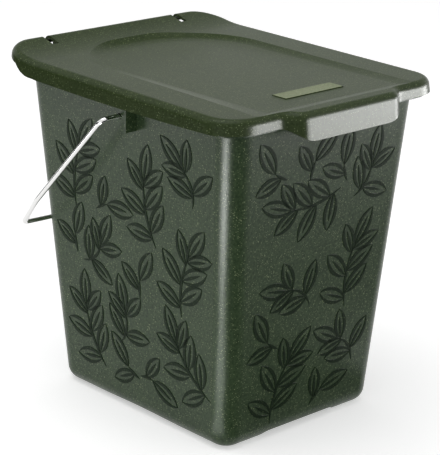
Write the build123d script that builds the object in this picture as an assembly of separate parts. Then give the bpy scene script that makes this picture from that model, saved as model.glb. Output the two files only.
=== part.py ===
from build123d import *
import math
import os

# Kitchen compost caddy: a tapered moulded bucket, a hinged moulded lid and a steel wire bail.
# Millimetres, +Z up, the front (with the lid's finger grip) faces -Y, the hinge is at +Y.
# The functions build around the centre of the base; the pieces are saved centred on the whole.

# ---- bucket ----
bucket_height = 228.6       # floor of the room to the top of the rim
base_width = 142.0          # outside, where the walls would meet the ground
base_depth = 175.0
mouth_width = 173.2         # outside, at the top of the rim
mouth_depth = 213.3
base_corner = 14.0          # upright corner radius at the ground
mouth_corner = 17.0         # the same at the rim
bucket_wall = 2.2
bucket_floor = 2.5
base_round = 11.0           # rounding between the walls and the ground

# ---- foot ring and its arches ----
foot_height = 5.0           # ground to the underside of the floor
foot_width = 3.0            # flat part that touches the ground
hollow_corner = 7.0         # plan corners of the hollow under the floor
front_arch_height = 4.8
front_arch_flat = 56.0      # level top of the front and rear arches
front_arch_ease = 14.0      # length of the curved end of an arch
side_arch_height = 4.2
side_arch_span = 112.0

# ---- rim ----
rim_side_reach = 8.9        # rim plate beyond the walls, left and right
rim_front_reach = 6.2
rim_rear_reach = 6.5
rim_thickness = 1.8
rim_front_corner = 19.5
rim_rear_corner = 34.0
rim_gusset = 3.0            # fillet under the plate

# ---- bail bearings ----
wire = 3.5                  # bail wire diameter
bail_hole_clearance = 0.4   # radial, wire in its hole
pivot_y = 4.0               # forward of this the bail swings over the lid
pivot_drop = 11.6           # bail axis below the top of the rim
pad_length = 15.0           # raised pad round each bail hole
pad_height = 15.0
pad_proud = 0.7
rib_thickness = 2.0         # upright rib under the rim, in front of each bail hole
rib_gap = 14.5              # bail axis to the rib
rib_height = 17.0           # hangs this far below the rim
rib_setback = 0.8           # rib's outer edge inside the rim's edge
rib_root = 5.0              # reach of the rib's foot past the leaning wall

# ---- bail ----
bail_grip_gap = 2.6         # crossbar's ends pass this far ahead of the finger grip
bail_turn = 31.5            # the arms turn inward this far short of the crossbar's ends
bail_bow = 3.5              # how far the crossbar bows outward at its middle
bail_skirt_gap = 0.5        # arm to the lid's side, where it passes it
bail_taper = 5.35           # the end of the crossbar lies this far inside the arm's side
bail_bend = 5.0             # bend radius on the wire's centreline
bail_inner_bend = 3.6       # at the turned-in tips
bail_side_bend = 50.0       # where the arms turn inward
bail_bow_share = 0.85       # how much of the crossbar the bow takes up
bail_wall_gap = 1.6         # turned-in tip to the inside of the wall
bail_tip = 6.0              # how far the tip is turned
bail_wall_rest = 0.1        # crossbar to the rear wall when the bail hangs down
bail_nearest_bow = 0.5      # share of the bow where the crossbar comes nearest the wall

# ---- lid ----
lid_wall = 2.0
lid_seat_gap = 0.3          # seat wall above the rim at rest
skirt_gap = 1.7             # rim's edge to the inside of the skirt
skirt_overlap = 1.3         # the side skirts hide this much of the rim
skirt_front_lift = 1.7      # the front skirt ends this much higher
skirt_rear_lift = 1.6       # and the side skirts rise this much before the lip
lid_front_corner = 23.0
lid_rear_corner = 23.0
lid_draft = 1.2             # skirt leans in this much towards the top
lid_front_rise = 9.9        # rim to the top face at the front
lid_rear_rise = 12.2        # rim to the top face where the rear lip starts
lip_run = 33.15             # the top starts to curl up this far ahead of the rim's rear edge
lip_rise = 8.4
lip_reach = 8.8             # lip's edge beyond the rim's rear edge
lip_depth = 7.2             # top of the lip to its lower edge
lid_round = 5.0             # rounding between the top and the skirt

# ---- finger grip ----
grip_reach = 9.6            # beyond the front skirt
grip_flat = 78.0            # straight length
grip_ease = 18.0            # length of each S curve beside it
grip_drop = 7.4             # lower edge below the side skirts'
grip_edge_flat = 66.0       # level length of the lower edge
grip_edge_ease = 26.0       # length of its rise to the skirt at each end

# ---- recess in the top, fading out towards the front ----
recess_side_margin = 27.0   # skirt's outside to the start of the slope
recess_rear_margin = 15.0   # rim's rear edge to the start of the slope
recess_front_margin = 3.0   # skirt's outside at the front to the start of the slope
recess_corner = 62.0
recess_depth = 2.8          # at the rear, below the plane of the top
recess_front_depth = 0.45
recess_front_run = 5.0      # length of the soft slope at the front
recess_side_run = 12.0
recess_rear_run = 12.0
# Outlines of the slope from the top down: share of the depth, share of the lip's height at the
# recess's rear edge, share of the front and side runs, share of the rear run.
recess_slope = ((-0.3, 1.0, -0.6, -0.1), (0.05, 0.73, 0.0, 0.18), (0.84, 0.0, 0.75, 0.7),
                (1.0, 0.0, 1.0, 1.0))
name_plate_length = 53.0
name_plate_width = 13.0
name_plate_margin = 25.55   # skirt's outside at the front to the plate
name_plate_proud = 0.4

# ---- locating ring and seat wall under the lid ----
ring_gap = 1.1              # inside the mouth
ring_wall = 1.8
ring_depth = 3.0            # below the top of the rim
seat_reach = 3.0            # outer face of the seat wall beyond the mouth
seat_hinge_gap = 13.4       # the seat wall ends this far ahead of the hinge's axis

# ---- hinge ----
hinge_inset = 4.75          # axis ahead of the rim's rear edge
hinge_rise = 7.9            # axis above the top of the rim
hinge_corner_gap = 1.5      # middle of a lug to the start of the rim's rear corner
lug_thickness = 3.4
lug_radius = 4.4
pin_radius = 2.0
pin_clearance = 0.06        # running fit in the lug
lug_mouth = 3.5             # snap-in opening, a little narrower than the pin
cheek_thickness = 2.8
cheek_gap = 0.4
slot_width = 5.6
slot_over_pin = 0.5         # lower edge of the slot above the pin
slot_reach = 3.2            # the slot starts this far ahead of the hinge's axis
skirt_run = 25.15           # the side skirts start to rise this far ahead of the rim's rear edge

half_taper_x = (mouth_width - base_width) / 2 / bucket_height
half_taper_y = (mouth_depth - base_depth) / 2 / bucket_height
rim_half_width = mouth_width / 2 + rim_side_reach
rim_front = -(mouth_depth / 2 + rim_front_reach)
rim_rear = mouth_depth / 2 + rim_rear_reach
skirt_half_width = rim_half_width + skirt_gap + lid_wall
skirt_front = rim_front - skirt_gap - lid_wall
skirt_bottom = bucket_height - skirt_overlap
top_front_z = bucket_height + lid_front_rise
top_rear_z = bucket_height + lid_rear_rise
lip_start = rim_rear - lip_run
lip_y = rim_rear + lip_reach
lip_z = top_rear_z + lip_rise
top_slope = (top_rear_z - top_front_z) / (lip_start - skirt_front)
skirt_end = rim_rear - skirt_run
grip_front = skirt_front - grip_reach
grip_bottom = skirt_bottom - grip_drop
grip_lean = lid_draft * grip_drop / (top_front_z - skirt_bottom)
hinge_x = rim_half_width - rim_rear_corner - hinge_corner_gap
hinge_y = rim_rear - hinge_inset
hinge_z = bucket_height + hinge_rise
slot_front = hinge_y - slot_reach
recess_front = skirt_front + recess_front_margin
recess_rear = rim_rear - recess_rear_margin
recess_lift = lip_rise * ((recess_rear - lip_start) / (lip_y - lip_start)) ** 2
seat_rear = hinge_y - seat_hinge_gap
pivot_z = bucket_height - pivot_drop
bail_reach = pivot_y - grip_front + bail_grip_gap + wire / 2
bail_side = bail_reach - bail_turn
ring_bottom = bucket_height - ring_depth
ring_half_width = mouth_width / 2 - bucket_wall - ring_gap
ring_half_depth = mouth_depth / 2 - bucket_wall - ring_gap
far = 400.0                 # longer than anything in the model
spare = 10.0                # cutters start this far outside what they cut
sink = 0.5                  # added features reach this far into what carries them


def rounded_face(half_width, front, rear, radius, z):
    outline = RectangleRounded(2 * half_width, rear - front, radius)
    return Pos(0, (front + rear) / 2, z) * outline


def corner_lines(half, front, rear, front_corner, rear_corner):
    """Sides, rear and four corners of a plan outline whose front edge is left open."""
    RadiusArc((half - front_corner, front), (half, front + front_corner), -front_corner)
    Line((half, front + front_corner), (half, rear - rear_corner))
    RadiusArc((half, rear - rear_corner), (half - rear_corner, rear), -rear_corner)
    Line((half - rear_corner, rear), (rear_corner - half, rear))
    RadiusArc((rear_corner - half, rear), (-half, rear - rear_corner), -rear_corner)
    Line((-half, rear - rear_corner), (-half, front + front_corner))
    RadiusArc((-half, front + front_corner), (front_corner - half, front), -front_corner)


def tapered_block(inset, low, high):
    """The bucket's outer form between two heights, moved inward by inset."""
    faces = []
    for z in (low, high):
        half_width = base_width / 2 + half_taper_x * z - inset
        half_depth = base_depth / 2 + half_taper_y * z - inset
        corner = base_corner + (mouth_corner - base_corner) * z / bucket_height - inset / 2
        faces.append(rounded_face(half_width, -half_depth, half_depth, corner, z))
    return loft(faces, ruled=True)


def prism_x(outline, half_length):
    """A YZ outline drawn out along X."""
    return extrude(Plane.YZ * outline, half_length, both=True)


def prism_y(outline, front, rear):
    """An XZ outline drawn out along Y."""
    return Pos(0, rear, 0) * extrude(Plane.XZ * outline, rear - front)


def base_arches():
    """Shallow arches cut through the foot ring, front to rear and side to side."""
    flat = front_arch_flat / 2
    end = flat + front_arch_ease
    top = front_arch_height
    with BuildSketch() as front_arch:
        with BuildLine():
            Line((-end, -spare), (end, -spare))
            Line((end, -spare), (end, 0))
            Spline((end, 0), (flat, top), tangents=[(-1, 0), (-1, 0)])
            Line((flat, top), (-flat, top))
            Spline((-flat, top), (-end, 0), tangents=[(-1, 0), (-1, 0)])
            Line((-end, 0), (-end, -spare))
        make_face()
    half_span = side_arch_span / 2
    with BuildSketch() as side_arch:
        with BuildLine():
            ThreePointArc((-half_span, 0), (0, side_arch_height), (half_span, 0))
            Line((half_span, 0), (half_span, -spare))
            Line((half_span, -spare), (-half_span, -spare))
            Line((-half_span, -spare), (-half_span, 0))
        make_face()
    return prism_y(front_arch.sketch, -far, far) + prism_x(side_arch.sketch, far)


def hinge_lug(side):
    """Upright lug on the rear of the rim, with a snap-in eye for the lid's pin."""
    stem_low = bucket_height - sink
    stem = Pos(0, hinge_y, (stem_low + hinge_z) / 2) * Box(lug_thickness, 2 * lug_radius, hinge_z - stem_low)
    head = Pos(0, hinge_y, hinge_z) * Rot(0, 90, 0) * Cylinder(lug_radius, lug_thickness)
    eye = Pos(0, hinge_y, hinge_z) * Rot(0, 90, 0) * Cylinder(pin_radius + pin_clearance, far)
    mouth = Pos(0, hinge_y, hinge_z + lug_radius) * Box(far, lug_mouth, 2 * lug_radius)
    return Pos(side * hinge_x, 0, 0) * (stem + head - eye - mouth)


def rim_plate():
    """Flat flange round the mouth, tighter at its front corners than at the rear."""
    straight = rim_half_width - rim_front_corner
    with BuildSketch() as outline:
        with BuildLine():
            Line((-straight, rim_front), (straight, rim_front))
            corner_lines(rim_half_width, rim_front, rim_rear, rim_front_corner, rim_rear_corner)
        make_face()
    return Pos(0, 0, bucket_height - rim_thickness) * extrude(outline.sketch, rim_thickness)


def bail_bearing(side):
    """Raised pad round one bail hole and the upright rib ahead of it."""
    wall_x = base_width / 2 + half_taper_x * pivot_z
    lean = math.degrees(math.atan(half_taper_x))
    pad = Box(bucket_wall + pad_proud, pad_length, pad_height, align=(Align.MAX, Align.CENTER, Align.CENTER))
    pad = Pos(wall_x, pivot_y, pivot_z) * Rot(0, lean, 0) * Pos(pad_proud, 0, 0) * pad
    rib_outer = rim_half_width - rib_setback
    rib_top = bucket_height - rim_thickness + sink
    rib = Pos(rib_outer, pivot_y - rib_gap, rib_top) * Box(
        rib_outer - wall_x + rib_root, rib_thickness, rib_height, align=Align.MAX)
    bearing = pad + rib - tapered_block(bucket_wall - sink, 0, bucket_height)
    return bearing if side > 0 else mirror(bearing, Plane.YZ)


def make_bucket():
    body = tapered_block(0, 0, bucket_height)
    body = fillet(body.edges().group_by(Axis.Z)[0], base_round)
    bucket = body + rim_plate()
    under = bucket.faces().filter_by(Axis.Z).sort_by(Axis.Z)[-2]
    bucket = fillet(under.inner_wires()[0].edges(), rim_gusset)
    cavity = tapered_block(bucket_wall, foot_height + bucket_floor, bucket_height + spare)
    cavity = fillet(cavity.edges().group_by(Axis.Z)[0], base_round - bucket_wall)
    bucket -= cavity
    foot_inside = base_round + foot_width
    hollow_half_width = base_width / 2 - foot_inside
    hollow_half_depth = base_depth / 2 - foot_inside
    hollow = rounded_face(hollow_half_width, -hollow_half_depth, hollow_half_depth, hollow_corner, -spare)
    bucket -= extrude(hollow, foot_height + spare)
    bucket -= base_arches()
    for side in (-1, 1):
        bucket += bail_bearing(side)
        bucket += hinge_lug(side)
    hole = Rot(0, 90, 0) * Cylinder(wire / 2 + bail_hole_clearance, far)
    return bucket - Pos(0, pivot_y, pivot_z) * hole


def top_profile(lower_by, low):
    """YZ outline of everything under the lid's top, from the level named low."""
    front = grip_front - spare
    front_z = top_front_z - top_slope * (skirt_front - front) - lower_by
    curl_z = top_rear_z - lower_by
    edge_z = lip_z - lower_by
    with BuildSketch() as outline:
        with BuildLine():
            Line((front, low), (front, front_z))
            Line((front, front_z), (lip_start, curl_z))
            curl = TangentArc((lip_start, curl_z), (lip_y, edge_z), tangent=(1, top_slope))
            past = curl @ 1 + spare * (curl % 1)
            Line(curl @ 1, past)
            Line(past, (past.X, low))
            Line((past.X, low), (front, low))
        make_face()
    return outline.sketch


def lid_outline(inset, lean):
    """Plan of the lid with its grip, moved inward by inset and, higher up, by the skirt's lean."""
    half = skirt_half_width - inset - lean
    front = skirt_front + inset + lean
    rear = lip_y - inset
    nose = grip_front + inset + lean
    flat = grip_flat / 2 - inset / 2
    ease = flat + grip_ease
    front_corner = lid_front_corner - inset
    with BuildSketch() as outline:
        with BuildLine():
            Line((-flat, nose), (flat, nose))
            Spline((flat, nose), (ease, front), tangents=[(1, 0), (1, 0)])
            Line((ease, front), (half - front_corner, front))
            corner_lines(half, front, rear, front_corner, lid_rear_corner - inset)
            Line((front_corner - half, front), (-ease, front))
            Spline((-ease, front), (-flat, nose), tangents=[(1, 0), (1, 0)])
        make_face()
    return outline.sketch


def lid_block(inset, low):
    """Solid under the lid's top, its upper edges rounded."""
    high = lip_z + spare
    lean = lid_draft / (top_front_z - skirt_bottom)
    lower = Pos(0, 0, low) * lid_outline(inset, lean * (low - skirt_bottom))
    upper = Pos(0, 0, high) * lid_outline(inset, lean * (high - skirt_bottom))
    block = loft([lower, upper], ruled=True) & prism_x(top_profile(inset, low), far)
    top_faces = [face for face in block.faces() if face.normal_at().Z > 0.7]
    rims = []
    for face in top_faces:
        for edge in face.edges():
            shared = [other for other in top_faces if other is not face and edge in other.edges()]
            if not shared:
                rims.append(edge)
    return fillet(rims, lid_round - inset)


def skirt_cut():
    """What is taken away under the skirt's lower edge and under the rear lip."""
    low = grip_bottom - spare
    front_edge = skirt_bottom + skirt_front_lift
    rear_edge = skirt_bottom + skirt_rear_lift
    with BuildSketch() as beside:
        with BuildLine():
            Line((-far, front_edge), (skirt_front, front_edge))
            ThreePointArc((skirt_front, front_edge), (0, skirt_bottom), (skirt_end, rear_edge))
            Spline((skirt_end, rear_edge), (rim_rear, lip_z), tangents=[(1, 0.1), (1, 0.9)])
            Line((rim_rear, lip_z), (far, lip_z))
            Line((far, lip_z), (far, low))
            Line((far, low), (-far, low))
            Line((-far, low), (-far, front_edge))
        make_face()
    half = grip_edge_flat / 2
    end = half + grip_edge_ease
    with BuildSketch() as grip:
        with BuildLine():
            Line((-end, lip_z), (-end, front_edge))
            Spline((-end, front_edge), (-half, grip_bottom), tangents=[(1, 0), (1, 0)])
            Line((-half, grip_bottom), (half, grip_bottom))
            Spline((half, grip_bottom), (end, front_edge), tangents=[(1, 0), (1, 0)])
            Line((end, front_edge), (end, lip_z))
            Line((end, lip_z), (-end, lip_z))
        make_face()
    cut = prism_x(beside.sketch, far) & prism_x(top_profile(lip_depth, low), far)
    return cut - prism_y(grip.sketch, -far, skirt_front + lid_front_corner)


def recess(grow):
    """The space above the sunk panel, its soft slopes moved out and its floor down by grow."""
    half = skirt_half_width - recess_side_margin
    length = recess_rear - recess_front
    sections = []
    for depth_share, lift_share, run_share, rear_share in recess_slope:
        front_drop = depth_share * recess_front_depth + grow
        rear_drop = depth_share * recess_depth - lift_share * recess_lift + grow
        near = run_share * recess_front_run - grow
        side = half - run_share * recess_side_run + grow
        rear_inset = rear_share * recess_rear_run - grow
        far_side = length - rear_inset
        corner = recess_corner - rear_inset
        tilt = top_slope - (rear_drop - front_drop) / length
        level = top_front_z + top_slope * recess_front_margin - front_drop
        plane = Plane(origin=(0, recess_front, level), x_dir=(1, 0, 0), z_dir=(0, -tilt, 1))
        with BuildSketch() as outline:
            with BuildLine():
                Line((-side, near), (side, near))
                Line((side, near), (side, far_side - corner))
                RadiusArc((side, far_side - corner), (side - corner, far_side), -corner)
                Line((side - corner, far_side), (corner - side, far_side))
                RadiusArc((corner - side, far_side), (-side, far_side - corner), -corner)
                Line((-side, far_side - corner), (-side, near))
            make_face()
        sections.append(plane * outline.sketch.face())
    return loft(sections)


def lid_hinge_parts(side):
    """Cheek and pin inboard of one hinge lug."""
    inner = hinge_x - lug_thickness / 2 - cheek_gap
    front = ring_half_depth - ring_wall
    rear = hinge_y + lug_radius
    low = hinge_z - 2 * pin_radius
    cheek = Pos(side * (inner - cheek_thickness / 2), (front + rear) / 2, (low + lip_z) / 2) * Box(
        cheek_thickness, rear - front, lip_z - low)
    pin_end = hinge_x + lug_thickness / 2
    pin_start = inner - cheek_thickness / 2
    pin = Pos(side * (pin_start + pin_end) / 2, hinge_y, hinge_z) * Rot(0, 90, 0) * Cylinder(
        pin_radius, pin_end - pin_start)
    return cheek, pin


def upright_ring(half_width, half_depth, corner, bottom):
    """Thin wall round the mouth, from the level named bottom up past the lid's top."""
    outer = rounded_face(half_width, -half_depth, half_depth, corner, bottom)
    inner = rounded_face(half_width - ring_wall, ring_wall - half_depth, half_depth - ring_wall,
                         corner - ring_wall / 2, bottom)
    return extrude(outer - inner, lip_z)


def make_lid():
    low = grip_bottom - sink
    corner = mouth_corner - bucket_wall / 2 - ring_gap
    seat_corner = mouth_corner + seat_reach
    middle = lid_block(lid_wall / 2, low) - recess(lid_wall / 2)
    lid = lid_block(0, low) - recess(0)
    lid -= lid_block(lid_wall, low) - recess(lid_wall)
    lid -= skirt_cut()
    lid += upright_ring(ring_half_width, ring_half_depth, corner, ring_bottom) & middle
    seat = upright_ring(mouth_width / 2 + seat_reach, mouth_depth / 2 + seat_reach, seat_corner,
                        bucket_height + lid_seat_gap)
    ahead = Pos(0, seat_rear - far, 0) * Box(2 * far, 2 * far, 2 * far)
    lid += seat & middle & ahead
    for side in (-1, 1):
        cheek, pin = lid_hinge_parts(side)
        lid += cheek & middle
        lid += pin
        slot_low = hinge_z + pin_radius + slot_over_pin
        lid -= Pos(side * hinge_x, slot_front + far / 2, slot_low + far / 2) * Box(slot_width, far, far)
    plate_y = skirt_front + name_plate_margin + name_plate_width / 2
    panel_tilt = top_slope - (recess_depth - recess_front_depth) / (recess_rear - recess_front)
    panel_z = (top_front_z + top_slope * recess_front_margin - recess_front_depth
               + panel_tilt * (plate_y - recess_front))
    plate = Pos(0, plate_y, panel_z + name_plate_proud) * Box(
        name_plate_length, name_plate_width, lid_wall / 2 + name_plate_proud,
        align=(Align.CENTER, Align.CENTER, Align.MAX))
    return lid + plate


def bail_rest_angle():
    """How far below level the bail hangs, in radians: its crossbar then lies at the rear wall."""
    lean = math.atan(half_taper_y)
    wall_to_axis = (base_depth / 2 + half_taper_y * pivot_z - pivot_y) * math.cos(lean)
    nearest = bail_reach + bail_bow * bail_nearest_bow
    return lean + math.acos((wall_to_axis + wire / 2 + bail_wall_rest) / nearest)


def make_bail():
    """One bent wire: tip, bearing, arm, bowed crossbar, and back, in the plane of the bail."""
    arm_x = skirt_half_width + bail_skirt_gap + wire / 2
    end_x = arm_x - bail_taper
    wall_inside = base_width / 2 + half_taper_x * (pivot_z - bail_tip) - bucket_wall
    tip_x = wall_inside - bail_wall_gap - wire / 2
    angle = bail_rest_angle()
    plane = Plane(origin=(0, pivot_y, pivot_z), x_dir=(1, 0, 0),
                  z_dir=(0, math.sin(angle), math.cos(angle)))
    corners = [(-tip_x, bail_tip), (-tip_x, 0), (-arm_x, 0), (-arm_x, bail_side),
               (-end_x, bail_reach), (0, bail_reach + 2 * bail_bow)]
    mirrored = [(-x, along) for x, along in corners[:-1]]
    points = [plane.from_local_coords(Vector(x, along, 0)) for x, along in corners + mirrored[::-1]]
    middle_bend = end_x * end_x / (2 * bail_bow) * bail_bow_share
    half_radii = [bail_inner_bend, bail_bend, bail_side_bend, bail_bend]
    path = FilletPolyline(*points, radius=half_radii + [middle_bend] + half_radii[::-1])
    section = Plane(origin=path @ 0, z_dir=path % 0) * Circle(wire / 2)
    return sweep(section, path=path)


os.makedirs("parts", exist_ok=True)
pieces = {"bucket": make_bucket(), "lid": make_lid(), "bail": make_bail()}
centre_y = (grip_front - grip_lean + lip_y) / 2
for name, piece in pieces.items():
    export_step(Pos(0, -centre_y, 0) * piece, f"parts/{name}.step")
    print(name, round(piece.volume), len(piece.solids()))
print("lid hinge", hinge_y - centre_y, hinge_z)
print("bail axis", pivot_y - centre_y, pivot_z)
print("bail hangs", math.degrees(bail_rest_angle()), "degrees below level")
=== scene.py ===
import math

import bmesh
import bpy
from mathutils import Matrix, Vector


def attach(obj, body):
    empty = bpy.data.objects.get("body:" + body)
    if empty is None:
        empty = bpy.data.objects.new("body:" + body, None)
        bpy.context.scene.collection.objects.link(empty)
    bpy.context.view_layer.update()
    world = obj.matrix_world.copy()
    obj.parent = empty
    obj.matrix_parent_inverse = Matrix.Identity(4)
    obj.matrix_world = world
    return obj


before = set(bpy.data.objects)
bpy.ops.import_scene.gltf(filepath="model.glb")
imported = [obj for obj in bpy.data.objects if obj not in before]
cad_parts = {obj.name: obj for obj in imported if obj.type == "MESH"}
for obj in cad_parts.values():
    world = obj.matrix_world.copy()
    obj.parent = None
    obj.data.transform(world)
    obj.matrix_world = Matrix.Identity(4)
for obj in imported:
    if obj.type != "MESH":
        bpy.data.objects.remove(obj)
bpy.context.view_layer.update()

# ---- Camera ----
# The caddy is seen from above its front left corner, from about 1.3 m away.
# The lens is long, so the upright edges stay nearly parallel.
eye = bpy.data.cameras.new("eye")
eye.sensor_width = 36.0
eye.lens = 148.36
eye.clip_end = 50.0
camera = bpy.data.objects.new("eye", eye)
camera.location = (-0.85248, -0.91505, 0.54191)
camera.rotation_euler = [math.radians(turn) for turn in (71.4666, -1.0714, -42.6208)]
bpy.context.scene.collection.objects.link(camera)
bpy.context.scene.camera = camera
bpy.context.scene.view_settings.view_transform = "Standard"


# ---- Floor and light ----
# A white sweep that shows as white and keeps the caddy's shadow, and one soft box overhead. The
# other lamps only shine in the gloss: a wide box behind for the lid, and low strips for the near
# corner and the front. Black cards that only glossy rays meet keep the rest of the shine deep.
class Value:
    """One output of a finish's nodes. Arithmetic on it adds Math nodes."""

    def __init__(self, finish, socket):
        self.finish = finish
        self.socket = socket

    def combine(self, operation, first, second):
        return self.finish.add("ShaderNodeMath", {"operation": operation}, {0: first, 1: second})

    def __add__(self, other):
        return self.combine("ADD", self, other)

    def __radd__(self, other):
        return self.combine("ADD", other, self)

    def __sub__(self, other):
        return self.combine("SUBTRACT", self, other)

    def __rsub__(self, other):
        return self.combine("SUBTRACT", other, self)

    def __mul__(self, other):
        return self.combine("MULTIPLY", self, other)

    def __rmul__(self, other):
        return self.combine("MULTIPLY", other, self)

    def __lt__(self, other):
        return self.combine("LESS_THAN", self, other)


class Finish:
    """The nodes of one material or of the world."""

    def __init__(self, owner):
        owner.use_nodes = True
        self.tree = owner.node_tree
        self.tree.nodes.clear()

    def add(self, kind, settings, sockets, output=0):
        """Adds one node, settings first, and gives one of its outputs."""
        node = self.tree.nodes.new(kind)
        for name, setting in settings.items():
            setattr(node, name, setting)
        for name, value in sockets.items():
            if isinstance(value, Value):
                self.tree.links.new(value.socket, node.inputs[name])
            else:
                node.inputs[name].default_value = value
        return Value(self, node.outputs[output]) if node.outputs else None

    def blend(self, share, first, second):
        """A colour between first and second."""
        return self.add("ShaderNodeMix", {"data_type": "RGBA"}, {0: share, 6: first, 7: second}, 2)


def seen_directly(finish):
    """1 for rays from the camera, off a glossy surface or through glass, 0 for soft light."""
    direct = finish.add("ShaderNodeLightPath", {}, {}, "Is Camera Ray")
    for kind_of_ray in ("Is Glossy Ray", "Is Transmission Ray"):
        other = finish.add("ShaderNodeLightPath", {}, {}, kind_of_ray)
        direct = direct.combine("MAXIMUM", direct, other)
    return direct


def stage_mesh(name, mesh, material):
    """A floor or card that belongs to the studio and not to the caddy."""
    flat = bpy.data.meshes.new(name)
    mesh.to_mesh(flat)
    mesh.free()
    flat.materials.append(material)
    piece = bpy.data.objects.new(name, flat)
    bpy.context.scene.collection.objects.link(piece)
    return piece


room_light = 0.50
world = bpy.data.worlds.new("studio")
bpy.context.scene.world = world
sky = Finish(world)
sky_strength = room_light + seen_directly(sky) * (1.0 - room_light)
background = sky.add("ShaderNodeBackground", {}, {
    "Color": (1, 1, 1, 1), "Strength": sky_strength})
sky.add("ShaderNodeOutputWorld", {}, {"Surface": background})

floor_glow = 0.47
floor_size = 12.0
floor_drop = -0.0002
floor_paint = bpy.data.materials.new("white_sweep")
sweep = Finish(floor_paint)
glow = sweep.blend(seen_directly(sweep), (0, 0, 0, 1), (floor_glow, floor_glow, floor_glow, 1))
paper = sweep.add("ShaderNodeBsdfPrincipled", {}, {
    "Base Color": (0.84, 0.84, 0.84, 1), "Roughness": 1.0, "Specular IOR Level": 0.0,
    "Emission Color": glow, "Emission Strength": 1.0})
sweep.add("ShaderNodeOutputMaterial", {}, {"Surface": paper})
ground = bmesh.new()
bmesh.ops.create_grid(ground, x_segments=2, y_segments=2, size=floor_size)
bmesh.ops.translate(ground, verts=ground.verts, vec=(0, 0, floor_drop))
stage_mesh("floor", ground, floor_paint)

card_black = bpy.data.materials.new("black_card")
felt = Finish(card_black)
felt_face = felt.add("ShaderNodeBsdfPrincipled", {}, {
    "Base Color": (0.004, 0.004, 0.004, 1), "Roughness": 1.0, "Specular IOR Level": 0.0})
felt.add("ShaderNodeOutputMaterial", {}, {"Surface": felt_face})


def dark_card(name, width, height, turn, place):
    """A card that only darkens what shines: the camera and the soft light pass it."""
    mesh = bmesh.new()
    bmesh.ops.create_grid(mesh, x_segments=1, y_segments=1, size=0.5)
    card_place = Matrix.Translation(place) @ turn @ Matrix.Diagonal((width, height, 1.0, 1.0))
    bmesh.ops.transform(mesh, matrix=card_place, verts=mesh.verts)
    card = stage_mesh(name, mesh, card_black)
    card.visible_camera = False
    card.visible_diffuse = False
    card.visible_shadow = False


def stood_up(round_turn, lean):
    """The turn of a card that leans back by lean degrees from lying flat, facing round_turn."""
    return (Matrix.Rotation(math.radians(round_turn), 4, "Z")
            @ Matrix.Rotation(math.radians(lean), 4, "X"))


dark_card("floor_card", 0.75, 1.05, Matrix.Identity(4), (-0.28, -0.62, 0.001))
dark_card("right_card", 0.72, 0.90, Matrix.Identity(4), (0.46, -0.61, 0.001))
dark_card("far_card", 1.5, 0.42, stood_up(41, 90), (-0.70, 0.68, 0.215))
dark_card("back_card", 4.0, 3.0, stood_up(-42, 112), (1.85, 2.06, 1.95))


def soft_box(name, place, aim, width, height, power, diffuse=True):
    """A rectangular lamp out of the camera's sight. Without diffuse it only shines in gloss."""
    lamp = bpy.data.lights.new(name, "AREA")
    lamp.shape = "RECTANGLE"
    lamp.size = width
    lamp.size_y = height
    lamp.energy = power
    box = bpy.data.objects.new(name, lamp)
    box.location = place
    box.rotation_euler = (Vector(aim) - Vector(place)).to_track_quat("-Z", "Y").to_euler()
    box.visible_camera = False
    box.visible_diffuse = diffuse
    bpy.context.scene.collection.objects.link(box)


soft_box("overhead_box", (-0.3, 0.1, 1.7), (0, 0, 0.2), 1.4, 1.4, 12.0)
soft_box("back_box", (1.78, 1.98, 1.25), (0, 0, 0.2), 4.0, 2.5, 17.5, diffuse=False)
soft_box("rib_strip", (-0.60, 0.52, 0.003), (-0.66, 0.58, 1.0), 0.22, 0.24, 1.2, diffuse=False)
soft_box("near_strip", (-0.240, -0.118, 0.024), (-0.070, -0.068, 1.0), 0.075, 0.24, 0.33,
         diffuse=False)
soft_box("foot_strip", (-0.103, -0.082, 0.005), (-0.075, -0.074, 1.0), 0.030, 0.044, 0.013,
         diffuse=False)
soft_box("far_strip", (-0.455, -0.135, 0.010), (-0.408, -0.120, 1.0), 0.15, 0.26, 3.0,
         diffuse=False)
soft_box("low_strip", (0.95, -0.95, 0.13), (0, -0.12, 0.2), 1.5, 0.24, 50.0, diffuse=False)

# ---- Bucket ----
# One injection moulding in dark green plastic made from regrind: fine pale flecks all through,
# a faintly grained skin and a soft sheen. The lid snaps on to lugs at the rear of its rim, and
# the bail hangs in a hole in each side wall.
patch_scale = 38.0
skin_scale = 1400.0
speckle_scale = 620.0
shade_start = 0.2
patch_contrast = 0.6
speckle_contrast = 2.6
pore_depth = 0.0002
roughness_drift = 0.08
fine_flecks = (880.0, 0.00031, 0.34)
large_flecks = (480.0, 0.00044, 0.16)


def flecks(finish, turn, scale, size, share):
    """Specks about size wide in turned cells of 1/scale, in this share of the cells."""
    place = finish.add("ShaderNodeTexCoord", {}, {}, "Object")
    turned = finish.add("ShaderNodeMapping", {}, {"Vector": place, "Rotation": turn})
    cells = {"Vector": turned, "Scale": scale}
    distance = finish.add("ShaderNodeTexVoronoi", {"feature": "F1"}, cells, "Distance")
    tint = finish.add("ShaderNodeTexVoronoi", {"feature": "F1"}, cells, "Color")
    chance = finish.add("ShaderNodeSeparateColor", {}, {"Color": tint}, "Red")
    return (distance < size * scale) * (chance < share)


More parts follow.
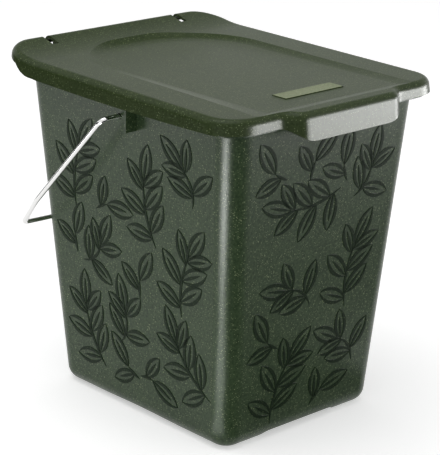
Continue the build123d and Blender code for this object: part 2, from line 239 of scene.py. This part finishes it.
def plastic(name, colour, shade, fleck_colour, roughness, grain, sheen, fleck_share=1.0):
    """Flecked moulded plastic: colour drifts towards shade in soft patches."""
    material = bpy.data.materials.new(name)
    finish = Finish(material)
    place = finish.add("ShaderNodeTexCoord", {}, {}, "Object")
    patches = finish.add("ShaderNodeTexNoise", {}, {
        "Vector": place, "Scale": patch_scale, "Detail": 4.0})
    fine = finish.add("ShaderNodeTexNoise", {}, {
        "Vector": place, "Scale": skin_scale, "Detail": 2.0})
    speckle = finish.add("ShaderNodeTexNoise", {}, {
        "Vector": place, "Scale": speckle_scale, "Detail": 3.0})
    drift = patches * patch_contrast + (speckle - 0.5) * speckle_contrast + shade_start
    skin = finish.blend(drift, colour + (1,), shade + (1,))
    specks = (flecks(finish, (0.5, 0.8, 0.3), *fine_flecks)
              + flecks(finish, (0.9, 0.2, 1.1), *large_flecks))
    surface = finish.blend(specks * fleck_share, skin, fleck_colour + (1,))
    pores = finish.add("ShaderNodeBump", {}, {
        "Strength": grain, "Distance": pore_depth, "Height": fine})
    shader = finish.add("ShaderNodeBsdfPrincipled", {}, {
        "Base Color": surface, "Roughness": roughness + fine * roughness_drift,
        "Normal": pores, "Specular IOR Level": sheen})
    finish.add("ShaderNodeOutputMaterial", {}, {"Surface": shader})
    return material


def coat(node, material):
    """Puts one material on a carried-over piece."""
    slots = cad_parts[node].data.materials
    slots.clear()
    slots.append(material)


bucket_green = plastic("bucket_green", (0.018, 0.040, 0.014), (0.053, 0.089, 0.038),
                       (0.20, 0.25, 0.13), 0.27, 0.35, 0.26)
coat("bucket", bucket_green)

# ---- Lid ----
# The second moulding, of the same plastic a shade browner, with a satin top that mirrors the
# pale room at a low angle. It turns on pins in the bucket's lugs. The bare plate near its front
# has a frosted face, so it looks paler, inside a thin raised border.
lid_green = plastic("lid_green", (0.018, 0.033, 0.007), (0.038, 0.057, 0.017),
                    (0.15, 0.19, 0.09), 0.28, 0.25, 0.14, fleck_share=0.85)
coat("lid", lid_green)

pad_width = 0.0526
pad_depth = 0.0126
pad_corner = 0.0012
pad_border = 0.0009
pad_sink = 0.0002
pad_thickness = 0.0004
pad_place = (0, -0.08200, 0.23880)
pad = bmesh.new()
bmesh.ops.create_grid(pad, x_segments=1, y_segments=1, size=0.5)
bmesh.ops.transform(pad, matrix=Matrix.Diagonal((pad_width, pad_depth, 1.0, 1.0)),
                    verts=pad.verts)
bmesh.ops.bevel(pad, geom=pad.verts[:], offset=pad_corner, offset_type="OFFSET", segments=4,
                profile=0.5, affect="VERTICES", material=-1)
panel = pad.faces[:]
bmesh.ops.inset_region(pad, faces=panel, thickness=pad_border, use_even_offset=True)
bmesh.ops.translate(pad, verts=panel[0].verts, vec=(0, 0, -pad_sink))
bmesh.ops.solidify(pad, geom=pad.faces[:], thickness=pad_thickness)
bmesh.ops.recalc_face_normals(pad, faces=pad.faces)
bmesh.ops.translate(pad, verts=pad.verts, vec=pad_place)
pad_mesh = bpy.data.meshes.new("plate_pad")
pad.to_mesh(pad_mesh)
pad.free()
frosted = plastic("frosted_green", (0.17, 0.20, 0.11), (0.23, 0.26, 0.16),
                  (0.30, 0.34, 0.22), 0.55, 0.30, 0.20)
pad_mesh.materials.append(frosted)
plate_pad = bpy.data.objects.new("plate_pad", pad_mesh)
bpy.context.scene.collection.objects.link(plate_pad)
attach(plate_pad, "lid")

# ---- Leaf relief ----
# Sprigs moulded with the bucket on its four walls: curved stems with pointed leaves, drawn like
# brush strokes that taper at both ends. They stand a third of a millimetre proud, in painted
# shade.
base_half_width = 0.0710
base_half_depth = 0.0875
side_taper = 0.06824
front_taper = 0.08377
centre_shift = 0.0024964
leaf_proud = 0.00034
leaf_sunk = 0.0003
outline_width = 0.0026
midrib_share = 0.74
midrib_rise = 0.0011
midrib_width = 0.0022
stem_width = 0.0022
leaf_root = 0.0009
sprig_middle = 0.55
arc_steps = 9


def brush_stroke(length, rise, thickness, place):
    """One tapered stroke: the face between two arcs that share their ends, made solid."""
    stroke = bmesh.new()
    for sagitta in (rise, rise - thickness):
        radius = (length * length / 4 + sagitta * sagitta) / (2 * sagitta)
        half_turn = math.asin(length / 2 / abs(radius))
        start = bmesh.ops.create_vert(stroke, co=(0, 0, 0))["vert"]
        bmesh.ops.spin(stroke, geom=start, cent=(length / 2, sagitta - radius, 0),
                       axis=(0, 0, 1), dvec=(0, 0, 0),
                       angle=-2 * math.copysign(half_turn, sagitta), steps=arc_steps,
                       use_merge=False, use_normal_flip=False, use_duplicate=False)
    bmesh.ops.remove_doubles(stroke, verts=stroke.verts, dist=1e-6)
    bmesh.ops.contextual_create(stroke, geom=stroke.edges)
    raised = bmesh.ops.extrude_face_region(stroke, geom=stroke.faces)["geom"]
    raised_corners = [part for part in raised if isinstance(part, bmesh.types.BMVert)]
    bmesh.ops.translate(stroke, verts=raised_corners, vec=(0, 0, leaf_proud + leaf_sunk))
    bmesh.ops.translate(stroke, verts=stroke.verts, vec=(0, 0, -leaf_sunk))
    bmesh.ops.recalc_face_normals(stroke, faces=stroke.faces)
    bmesh.ops.transform(stroke, matrix=place, verts=stroke.verts)
    shape = bpy.data.meshes.new("stroke")
    stroke.to_mesh(shape)
    stroke.free()
    return shape


def add_leaf(sprig, length, width, place):
    """Two outline strokes and a midrib that runs out before the tip."""
    for shape in (brush_stroke(length, width / 2, outline_width, place),
                  brush_stroke(length, outline_width - width / 2, outline_width, place),
                  brush_stroke(length * midrib_share, midrib_rise, midrib_width, place)):
        sprig.from_mesh(shape)


def flat_turn(angle):
    """A turn in the plane of the wall, in radians."""
    return Matrix.Rotation(angle, 4, "Z")


def make_sprig(name, stem_length, bend, leaves, end_leaf):
    """A stem with leaves given as (share of the stem, side, length, width, angle)."""
    sprig = bmesh.new()
    sprig.from_mesh(brush_stroke(stem_length, bend, stem_width, Matrix.Identity(4)))
    radius = (stem_length ** 2 / 4 + bend ** 2) / (2 * bend)
    for share, side, length, width, angle in leaves:
        along = (share - 0.5) * stem_length
        height = math.copysign(math.sqrt(radius ** 2 - along ** 2), radius)
        root = Matrix.Translation((share * stem_length, bend - radius + height - leaf_root, 0))
        lean = math.degrees(-math.asin(along / radius))
        add_leaf(sprig, length, width, root @ flat_turn(math.radians(lean + side * angle)))
    tip = Matrix.Translation((stem_length, 0, 0))
    add_leaf(sprig, *end_leaf, tip @ flat_turn(-math.asin(stem_length / 2 / radius)))
    middle = Matrix.Translation((-sprig_middle * (stem_length + end_leaf[0]), 0, 0))
    bmesh.ops.transform(sprig, matrix=middle, verts=sprig.verts)
    shape = bpy.data.meshes.new(name)
    sprig.to_mesh(shape)
    sprig.free()
    return shape


long_sprig = make_sprig("long_sprig", 0.046, 0.0050, (
    (0.14, 1, 0.027, 0.0125, 56), (0.22, -1, 0.027, 0.0125, 56), (0.50, 1, 0.028, 0.0130, 50),
    (0.58, -1, 0.028, 0.0130, 50), (0.86, 1, 0.025, 0.0115, 44), (0.92, -1, 0.025, 0.0115, 44)),
    (0.028, 0.0125))
short_sprig = make_sprig("short_sprig", 0.026, -0.0030, (
    (0.26, 1, 0.026, 0.0120, 62), (0.34, -1, 0.026, 0.0120, 62), (0.84, 1, 0.024, 0.0115, 48),
    (0.90, -1, 0.024, 0.0115, 48)), (0.028, 0.0125))
twin_leaf = make_sprig("twin_leaf", 0.013, 0.0016, (
    (0.45, 1, 0.024, 0.0115, 46),), (0.028, 0.0130))

# Painted shade: the sprigs are the bucket's own plastic, given a darker green so the low relief
# looks shaded.
relief_green_painted_shade = plastic("relief_green_painted_shade", (0.009, 0.020, 0.009), (0.015, 0.030, 0.013),
                       (0.10, 0.13, 0.06), 0.30, 0.10, 0.08, fleck_share=0.5)


def wall_relief(name, across, outward, start, taper, sprigs):
    """Sprigs given as (shape, metres across the wall, height, turn) on one sloping wall."""
    lean = math.atan(taper)
    normal = Vector(outward) * math.cos(lean) - Vector((0, 0, math.sin(lean)))
    upward = normal.cross(Vector(across))
    wall_axes = Matrix((across, upward, normal)).transposed().to_4x4()
    wall = Matrix.Translation(start) @ wall_axes
    relief = bmesh.new()
    for shape, place_across, height, turn in sprigs:
        copy = bmesh.new()
        copy.from_mesh(shape)
        up_wall = Matrix.Translation((place_across, height / math.cos(lean), 0))
        place = up_wall @ flat_turn(math.radians(turn))
        bmesh.ops.transform(copy, matrix=wall @ place, verts=copy.verts)
        placed = bpy.data.meshes.new("placed")
        copy.to_mesh(placed)
        copy.free()
        relief.from_mesh(placed)
    mesh = bpy.data.meshes.new(name)
    relief.to_mesh(mesh)
    relief.free()
    mesh.materials.append(relief_green_painted_shade)
    piece = bpy.data.objects.new(name, mesh)
    bpy.context.scene.collection.objects.link(piece)
    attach(piece, "bucket")


front_sprigs = (
    (long_sprig, -0.024, 0.167, 189), (short_sprig, 0.047, 0.188, 54),
    (twin_leaf, -0.008, 0.206, 75), (long_sprig, 0.036, 0.123, 85),
    (short_sprig, -0.027, 0.110, 144), (long_sprig, -0.019, 0.050, 73),
    (short_sprig, 0.027, 0.062, 128), (twin_leaf, 0.023, 0.030, 44),
    (twin_leaf, -0.048, 0.079, 147), (twin_leaf, -0.055, 0.199, 152),
    (twin_leaf, 0.014, 0.198, 110))
wall_relief("relief_front", (1, 0, 0), (0, -1, 0), (0, centre_shift - base_half_depth, 0),
            front_taper, front_sprigs)

left_sprigs = (
    (long_sprig, -0.051, 0.180, 81), (short_sprig, 0.055, 0.197, 110),
    (long_sprig, 0.018, 0.171, 102), (twin_leaf, -0.015, 0.154, 26),
    (short_sprig, -0.030, 0.120, 38), (long_sprig, 0.058, 0.128, 78),
    (twin_leaf, 0.008, 0.112, 88), (long_sprig, -0.051, 0.062, 114),
    (short_sprig, -0.009, 0.078, 75), (long_sprig, 0.047, 0.063, 135),
    (twin_leaf, -0.062, 0.128, 98), (twin_leaf, -0.018, 0.037, 154),
    (twin_leaf, 0.026, 0.031, 2))
wall_relief("relief_left", (0, -1, 0), (-1, 0, 0), (-base_half_width, centre_shift, 0),
            side_taper, left_sprigs)

right_sprigs = (
    (long_sprig, -0.056, 0.165, 108), (short_sprig, 0.065, 0.193, 46),
    (long_sprig, 0.026, 0.155, 92), (twin_leaf, -0.010, 0.172, 106),
    (short_sprig, -0.017, 0.118, 48), (long_sprig, 0.061, 0.126, 100),
    (long_sprig, -0.042, 0.058, 78), (short_sprig, 0.003, 0.072, 133),
    (long_sprig, 0.048, 0.051, 82), (twin_leaf, -0.061, 0.114, 77),
    (twin_leaf, 0.022, 0.102, 49), (twin_leaf, -0.010, 0.032, 47),
    (twin_leaf, -0.032, 0.201, 22), (twin_leaf, 0.019, 0.199, 128))
wall_relief("relief_right", (0, 1, 0), (1, 0, 0), (base_half_width, centre_shift, 0),
            side_taper, right_sprigs)

back_sprigs = (
    (long_sprig, -0.037, 0.171, 98), (short_sprig, 0.029, 0.178, 57),
    (twin_leaf, -0.007, 0.194, 158), (long_sprig, 0.024, 0.071, 140),
    (short_sprig, -0.017, 0.079, 9), (twin_leaf, -0.003, 0.047, 178),
    (twin_leaf, -0.038, 0.032, 205), (twin_leaf, 0.003, 0.154, 26))
wall_relief("relief_back", (-1, 0, 0), (0, 1, 0), (0, centre_shift + base_half_depth, 0),
            front_taper, back_sprigs)

# ---- Bail ----
# The handle, one length of bright plated steel wire, drawn and then bent cold. Its turned-in
# tips hang loosely in the holes in the bucket's side walls.
draw_mark_scale = 900.0
plating = bpy.data.materials.new("bright_plating")
bright = Finish(plating)
wire_place = bright.add("ShaderNodeTexCoord", {}, {}, "Object")
draw_marks = bright.add("ShaderNodeTexNoise", {}, {
    "Vector": wire_place, "Scale": draw_mark_scale, "Detail": 2.0})
steel = bright.add("ShaderNodeBsdfPrincipled", {}, {
    "Base Color": (0.76, 0.76, 0.75, 1), "Metallic": 1.0,
    "Roughness": 0.10 + draw_marks * roughness_drift})
bright.add("ShaderNodeOutputMaterial", {}, {"Surface": steel})
coat("bail", plating)
